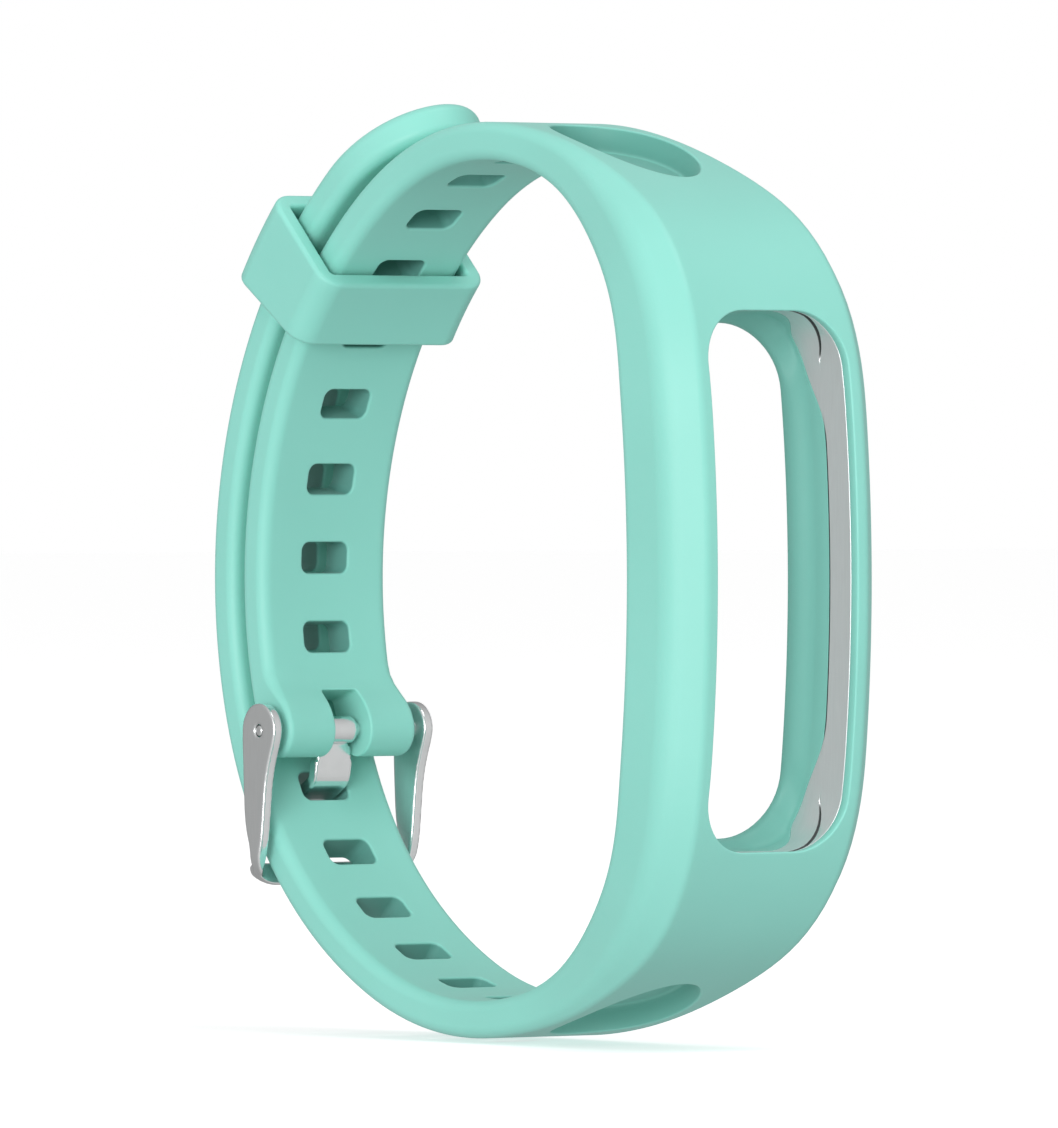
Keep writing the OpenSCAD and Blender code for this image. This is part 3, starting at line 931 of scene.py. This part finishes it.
def make_capsule_frame():
    """Metal strip in the opening's wall, with a slit in each corner from its middle to the lip, darkened inside
    with painted shade.
    """
    loop, normals = opening_loop()
    deep = LIP_T + frame_depth(loop) - 0.01
    across_slit = np.clip((np.abs(loop[:, 1]) - 17.3) / 3.3, 0, 1)
    fold = step5((np.abs(loop[:, 1]) - 17.0) / 0.6) * step5((np.abs(loop[:, 0]) - 2.0) / 1.4)
    middle = LIP_T + FRAME_DEPTH - 2.25 * across_slit
    half = 0.05 + 0.16 * across_slit
    front = LIP_T + 0.03
    floor = 0.03 + 0.34 * fold
    steps = [(RECESS - 0.02, front), (0.1, front), (0.045, front + 0.02), (0.03, front + 0.08)]
    slit = 0.03 + 0.03 * fold
    steps += [(0.03, middle - half - 0.06), (slit, middle - half - 0.02), (floor, middle - half)]
    steps += [(floor, middle + half), (slit, middle + half + 0.02), (0.03, middle + half + 0.06)]
    steps += [(0.03, deep - 0.08), (0.045, deep - 0.02), (0.1, deep), (RECESS - 0.02, deep)]
    skin = Skin()
    rows = []
    for k, (a, d) in enumerate(steps):
        plan = loop + np.broadcast_to(a, len(loop))[:, None] * normals
        # The slit's rows get painted shade, as much as the slit is deep
        in_slit = k in (5, 6, 7, 8)
        rows.append(skin.add(opening_row(plan, d, FRONT_FACE, 1)[1], fold if in_slit else 0.0))
    skin.join(rows + rows[:1])
    make(
        "capsule_frame_ring", skin.points, skin.faces, SATIN, "satin_metal", "band", "capsule_frame",
        painted_shades=skin.painted_shades,
    )  # fmt: skip


# ---------------------------------------------------------------- keeper


def make_keeper():
    """The free loop that holds the tail, as a tube of rounded rectangles bent along the strap."""
    _, high = (millimetres(p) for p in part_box("keeper_loop"))
    middle_r = BACK_R + STRAP_T + (STRAP_GAP + 0.15) / 2
    inner_hr = (2 * STRAP_T + STRAP_GAP + KEEPER_PLAY) / 2
    inner_hx = STRAP_HW + KEEPER_SIDE_PLAY
    wall = high[0] - inner_hx
    outer = rounded_rectangle(inner_hx + wall, inner_hr + wall, KEEPER_CORNER_R, 10, (1, 1))
    inner = rounded_rectangle(inner_hx, inner_hr, 0.35, 10, (1, 1))
    outer_n, inner_n = into_material(outer), into_material(inner, hole=True)
    half, (edge, inner_edge) = KEEPER_HL, KEEPER_EDGE_R
    skin = Skin()

    def row(loop, along, painted_shade=0.0):
        angle = np.radians(KEEPER_ANGLE) + along / (BACK_R + STRAP_T + STRAP_GAP / 2)
        r = middle_r + loop[:, 1]
        return skin.add(np.column_stack([loop[:, 0], BACK_Y + r * np.cos(angle), r * np.sin(angle)]), painted_shade)

    def edge_rows(loop, normals, radius, sign):
        rows = []
        for t in np.radians(np.linspace(0, 90, 6)):
            along = sign * (half - radius + radius * math.sin(t))
            rows.append(row(loop + radius * (1 - math.cos(t)) * normals, along))
        return rows

    flat = np.linspace(-1, 1, 9)[1:-1]
    rows = edge_rows(outer, outer_n, edge, -1)[::-1]
    rows += [row(outer, f * (half - edge)) for f in flat]
    rows += edge_rows(outer, outer_n, edge, 1)
    rows += edge_rows(inner, inner_n, inner_edge, 1)[::-1]
    # The inner wall is darkened with painted shade
    rows += [row(inner, -f * (half - inner_edge), 1.0) for f in flat]
    rows += edge_rows(inner, inner_n, inner_edge, -1)
    skin.join(rows + rows[:1])
    make(
        "silicone_keeper", skin.points, skin.faces, SILICONE, "silicone", "keeper", "keeper_loop",
        painted_shades=skin.painted_shades,
    )  # fmt: skip


# ---------------------------------------------------------------- buckle

ARM_HEAD_R = 2.2
# Side view of an arm in (Y, Z) from the pin, below its round head: down its front edge, round its foot and up
ARM_SIDE = [
    (-1.98, -0.95), (-1.62, -1.9), (-1.22, -3.1), (-0.92, -4.5), (-0.75, -5.9), (-0.6, -7.3),
    (-0.42, -8.7), (-0.1, -10), (0.3, -11.1), (0.72, -11.9), (1.1, -12.2), (1.35, -11.7),
    (1.3, -11), (1.2, -10.2), (1.3, -9.3), (1.62, -8.3), (1.86, -7.2), (1.97, -6), (2.05, -4.6),
    (2.12, -3), (2.18, -1.5),
]  # fmt: skip


def arm_outline():
    turn = np.radians(np.arange(0, 181, 20))
    head = np.stack([ARM_HEAD_R * np.cos(turn), ARM_HEAD_R * np.sin(turn)], -1)
    return PIN + spline(np.concatenate([head, ARM_SIDE]), True)


def polish_from(main):
    """Marks the points whose normal turns away from the given main direction."""

    def polish(mesh):
        normals = np.array([v.normal for v in mesh.vertices], float).reshape(-1, 3)
        return 1 - step5((np.abs(normals @ np.array(main, float)) - 0.55) / 0.35)

    return polish


def even_polish(value):
    return lambda mesh: np.full(len(mesh.vertices), value)


def make_buckle_frame():
    """Both arms and the crossbar, which has a groove for the tongue, as one distance field."""
    outline = arm_outline()
    bar = on_back(CROSSBAR_ANGLE, CROSSBAR_R)
    tilt = math.radians(CROSSBAR_ANGLE + 5)
    radial, along = np.array([math.cos(tilt), math.sin(tilt)]), np.array([-math.sin(tilt), math.cos(tilt)])
    foot, corner = PIN[1] - 12.5, 2.9
    inner, outer = ARM_X

    def field(p):
        x, plane = np.abs(p[:, 0]), p[:, 1:]
        sides = np.abs(x - (inner + outer) / 2) - (outer - inner) / 2
        arm = rounded_join(polygon_field(plane, outline), sides, 0.17)
        q = plane - bar
        qr, qa = q @ radial, q @ along
        rail = rounded_join(np.abs(qr) - CROSSBAR_HALF[0], np.abs(qa) - CROSSBAR_HALF[1], 0.4)
        rail = rounded_join(rail, x - outer + 0.8, 0.3)
        groove = np.hypot(x / 2.6, (qr - 1.15) / 1.0) - 0.78
        rail = smooth_max(rail, -groove, 0.12)
        body = smooth_min(arm, rail, 0.8)
        box = np.stack([x - outer + corner, foot + corner - plane[:, 1]], -1)
        bound = np.linalg.norm(np.maximum(box, 0), axis=1) + np.minimum(box.max(1), 0) - corner
        body = smooth_max(body, bound, 0.15)
        return smooth_max(body, ARM_HOLE_R - np.linalg.norm(plane - PIN, axis=1), 0.08)

    low, high = (millimetres(p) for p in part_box("buckle_frame"))
    points, faces = net(field, low, high, 0.13)
    make(
        "buckle_frame_metal", points, faces, BRIGHT, "bright_metal", "buckle", "buckle_frame",
        polish=polish_from((1, 0, 0)), merge=0,
    )  # fmt: skip


def make_tongue():
    """A bent plate from its eye on the pin, through the slot of the tail, to its end on the crossbar."""
    path = [
        PIN + [0.89, -0.1], PIN + [0.85, -1.4], PIN + [1.0, -2.9], on_back(-25.4, 38.4),
        on_back(-25.7, 40.5), on_back(-25.9, 42.4), on_back(-27.4, 43.65), on_back(-30.5, 43.8),
        on_back(CROSSBAR_ANGLE, CROSSBAR_R + 1.15), on_back(-38.5, 43.3),
    ]  # fmt: skip
    line = spline(path, False, 5)
    lengths = np.concatenate([[0], np.cumsum(np.linalg.norm(np.diff(line, axis=0), axis=1))])
    total = lengths[-1]

    def field(p):
        x, plane = np.abs(p[:, 0]), p[:, 1:]
        best, place = np.full(len(p), 1e9), np.zeros(len(p))
        for a, b, start, end in zip(line, line[1:], lengths, lengths[1:]):
            t = np.clip(((plane - a) @ (b - a)) / ((b - a) @ (b - a)), 0, 1)
            d = np.sum((plane - a - t[:, None] * (b - a)) ** 2, 1)
            nearer = d < best
            place = np.where(nearer, start + t * (end - start), place)
            best = np.where(nearer, d, best)
        width = 1.2 + 0.45 * step5((place - 0.7) / 0.9) + 0.15 * step5((place - 2.2) / 0.4)
        past = ((place - total + 1.3) / 1.5) ** 2 * (place > total - 1.3)
        width -= 0.75 * (1 - np.sqrt(np.clip(1 - past, 0, 1)))
        plate = rounded_join(np.sqrt(best) - TONGUE_HALF, x - width, 0.2)
        distance = np.linalg.norm(plane - PIN, axis=1)
        eye = rounded_join(np.abs(distance - 0.91) - 0.2, x - 1.2, 0.12)
        body = smooth_min(plate, eye, 0.2)
        return smooth_max(body, TONGUE_HOLE_R - distance, 0.06)

    low, high = (millimetres(p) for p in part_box("buckle_tongue"))
    points, faces = net(field, low, high, 0.12)
    make(
        "buckle_tongue_metal", points, faces, BRIGHT, "bright_metal", "tongue", "buckle_tongue",
        polish=even_polish(0.8), merge=0,
    )  # fmt: skip


def lathe(profile, segments=48):
    """Points and faces of a solid turned round the pin's axis, from (x, r) pairs."""
    skin = Skin()
    turn = np.linspace(0, 2 * math.pi, segments, endpoint=False)
    rows = []
    for x, r in profile:
        ring = np.stack([np.full(segments, x), PIN[0] + r * np.cos(turn), PIN[1] + r * np.sin(turn)], -1)
        rows.append(skin.add(ring))
    skin.join(rows)
    skin.fan(rows[0], (profile[0][0], *PIN))
    skin.fan(rows[-1], (profile[-1][0], *PIN))
    return skin


# Half profile of the spring bar's tube and profile of a tip, in (x, radius)
TUBE_END = [
    (6.3, 0.49), (6.86, 0.49), (6.9, 0.52), (6.9, 0.57), (6.87, 0.62), (6.8, 0.65), (6.45, 0.65),
    (6.4, 0.63), (6.34, 0.63), (6.29, 0.65),
]  # fmt: skip
TIP_PROFILE = [
    (4.25, 0.42), (4.3, 0.5), (6.5, 0.5), (6.55, 0.45), (7.75, 0.45), (7.85, 0.42), (7.92, 0.35),
    (7.95, 0.24), (7.93, 0.12),
]  # fmt: skip
COIL_TURNS, COIL_R, COIL_WIRE_R, COIL_HL = 16, 0.36, 0.09, 3.11


def make_spring_bar():
    """Tube, two tips and the coil spring inside."""
    full = even_polish(1.0)
    skin = lathe(TUBE_END + [(-x, r) for x, r in TUBE_END[::-1]])
    make(
        "spring_bar_tube_metal", skin.points, skin.faces, BRIGHT, "bright_metal", "band", "spring_bar_tube",
        polish=full,
    )  # fmt: skip
    for side, sign in (("left", -1), ("right", 1)):
        skin = lathe([(sign * x, r) for x, r in TIP_PROFILE], 36)
        make(
            f"spring_bar_tip_{side}_metal", skin.points, skin.faces, BRIGHT, "bright_metal", f"tip_{side}",
            f"spring_bar_tip_{side}", polish=full,
        )  # fmt: skip
    skin = Skin()
    around = np.linspace(0, 2 * math.pi, 10, endpoint=False)
    rows = []
    for t in np.linspace(0, 1, COIL_TURNS * 24 + 1):
        a = 2 * math.pi * COIL_TURNS * t
        r = COIL_R + COIL_WIRE_R * np.cos(around)
        x = -COIL_HL + 2 * COIL_HL * t + COIL_WIRE_R * np.sin(around)
        rows.append(skin.add(np.column_stack([x, PIN[0] + r * math.cos(a), PIN[1] + r * math.sin(a)])))
    skin.join(rows)
    for row in (rows[0], rows[-1]):
        skin.fan(row, np.mean([skin.points[i] for i in row], 0))
    make(
        "spring_bar_coil", skin.points, skin.faces, BRIGHT, "bright_metal", "band", "spring_bar_spring",
        polish=full,
    )  # fmt: skip


# ---------------------------------------------------------------- studio


# The photograph's viewing angle in degrees, distance and aim in metres, and lens in millimetres
CAMERA_AZIMUTH = -37
CAMERA_ELEVATION = 0.35
CAMERA_DISTANCE = 1.1
CAMERA_AIM = (0.00069, 0.00119, 0)
CAMERA_LENS = 442.3


def make_camera():
    azimuth, elevation = math.radians(CAMERA_AZIMUTH), math.radians(CAMERA_ELEVATION)
    level = math.cos(elevation)
    back = Vector((math.sin(azimuth) * level, -math.cos(azimuth) * level, math.sin(elevation)))
    turn = (-back).to_track_quat("-Z", "Y")
    camera = bpy.data.objects.new("camera", bpy.data.cameras.new("camera"))
    camera.data.sensor_width = 36
    camera.data.lens = CAMERA_LENS
    camera.location = back * CAMERA_DISTANCE + turn @ Vector(CAMERA_AIM)
    camera.rotation_mode = "QUATERNION"
    camera.rotation_quaternion = turn
    bpy.context.scene.collection.objects.link(camera)
    bpy.context.scene.camera = camera


def area_light(name, place, size, power):
    """Round white light, in metres and watts, that points at the middle of the band."""
    light = bpy.data.objects.new(name, bpy.data.lights.new(name, "AREA"))
    light.data.shape = "DISK"
    light.data.size = size
    light.data.energy = power
    light.visible_camera = False
    light.location = place
    light.rotation_mode = "QUATERNION"
    light.rotation_quaternion = (-Vector(place)).to_track_quat("-Z", "Y")
    bpy.context.scene.collection.objects.link(light)


def make_world():
    """Soft light that is brighter from the left front, in front of a white background."""
    world = bpy.data.worlds.new("studio")
    world.use_nodes = True
    tree = world.node_tree
    light = tree.nodes["Background"]
    light.inputs["Strength"].default_value = 1
    place = tree.nodes.new("ShaderNodeTexCoord")
    towards = tree.nodes.new("ShaderNodeVectorMath")
    towards.operation = "DOT_PRODUCT"
    towards.inputs[1].default_value = Vector((-0.35, -0.9, 0.1)).normalized()
    tree.links.new(place.outputs["Generated"], towards.inputs[0])
    spread = tree.nodes.new("ShaderNodeMapRange")
    spread.interpolation_type = "SMOOTHSTEP"
    for name, value in (("From Min", -0.9), ("From Max", 0.95), ("To Min", 0.35), ("To Max", 0.73)):
        spread.inputs[name].default_value = value
    tree.links.new(towards.outputs["Value"], spread.inputs["Value"])
    tree.links.new(spread.outputs["Result"], light.inputs["Color"])
    white = tree.nodes.new("ShaderNodeBackground")
    white.inputs["Color"].default_value = (1, 1, 1, 1)
    path = tree.nodes.new("ShaderNodeLightPath")
    mix = tree.nodes.new("ShaderNodeMixShader")
    tree.links.new(path.outputs["Is Camera Ray"], mix.inputs["Fac"])
    tree.links.new(light.outputs["Background"], mix.inputs[1])
    tree.links.new(white.outputs["Background"], mix.inputs[2])
    tree.links.new(mix.outputs["Shader"], tree.nodes["World Output"].inputs["Surface"])
    bpy.context.scene.world = world


FLOOR_HALF = 6
FLOOR_GAP = 0.0004


def make_studio():
    make_world()
    mesh = bpy.data.meshes.new("floor")
    bottom = CAD_BOX[0][2] - FLOOR_GAP
    corners = [(x * FLOOR_HALF, y * FLOOR_HALF, bottom) for x, y in ((-1, -1), (1, -1), (1, 1), (-1, 1))]
    mesh.from_pydata(corners, [], [(0, 1, 2, 3)])
    floor = bpy.data.objects.new("floor", mesh)
    bpy.context.scene.collection.objects.link(floor)
    material, _, shader = node_material("floor", (0.9, 0.9, 0.9), 0, 0.9)
    shader.inputs["Emission Color"].default_value = (1, 1, 1, 1)
    shader.inputs["Emission Strength"].default_value = 0.5
    mesh.materials.append(material)
    floor.visible_diffuse = False
    floor.visible_glossy = False
    area_light("key", (-1.04, -0.62, 0.06), 0.7, 10.8)
    area_light("top", (0.1, -0.5, 1.1), 0.6, 3.2)
    settings = bpy.context.scene.view_settings
    settings.view_transform = "Standard"
    settings.look = "None"


make_band()
make_capsule_frame()
make_keeper()
make_buckle_frame()
make_tongue()
make_spring_bar()
make_camera()
make_studio()
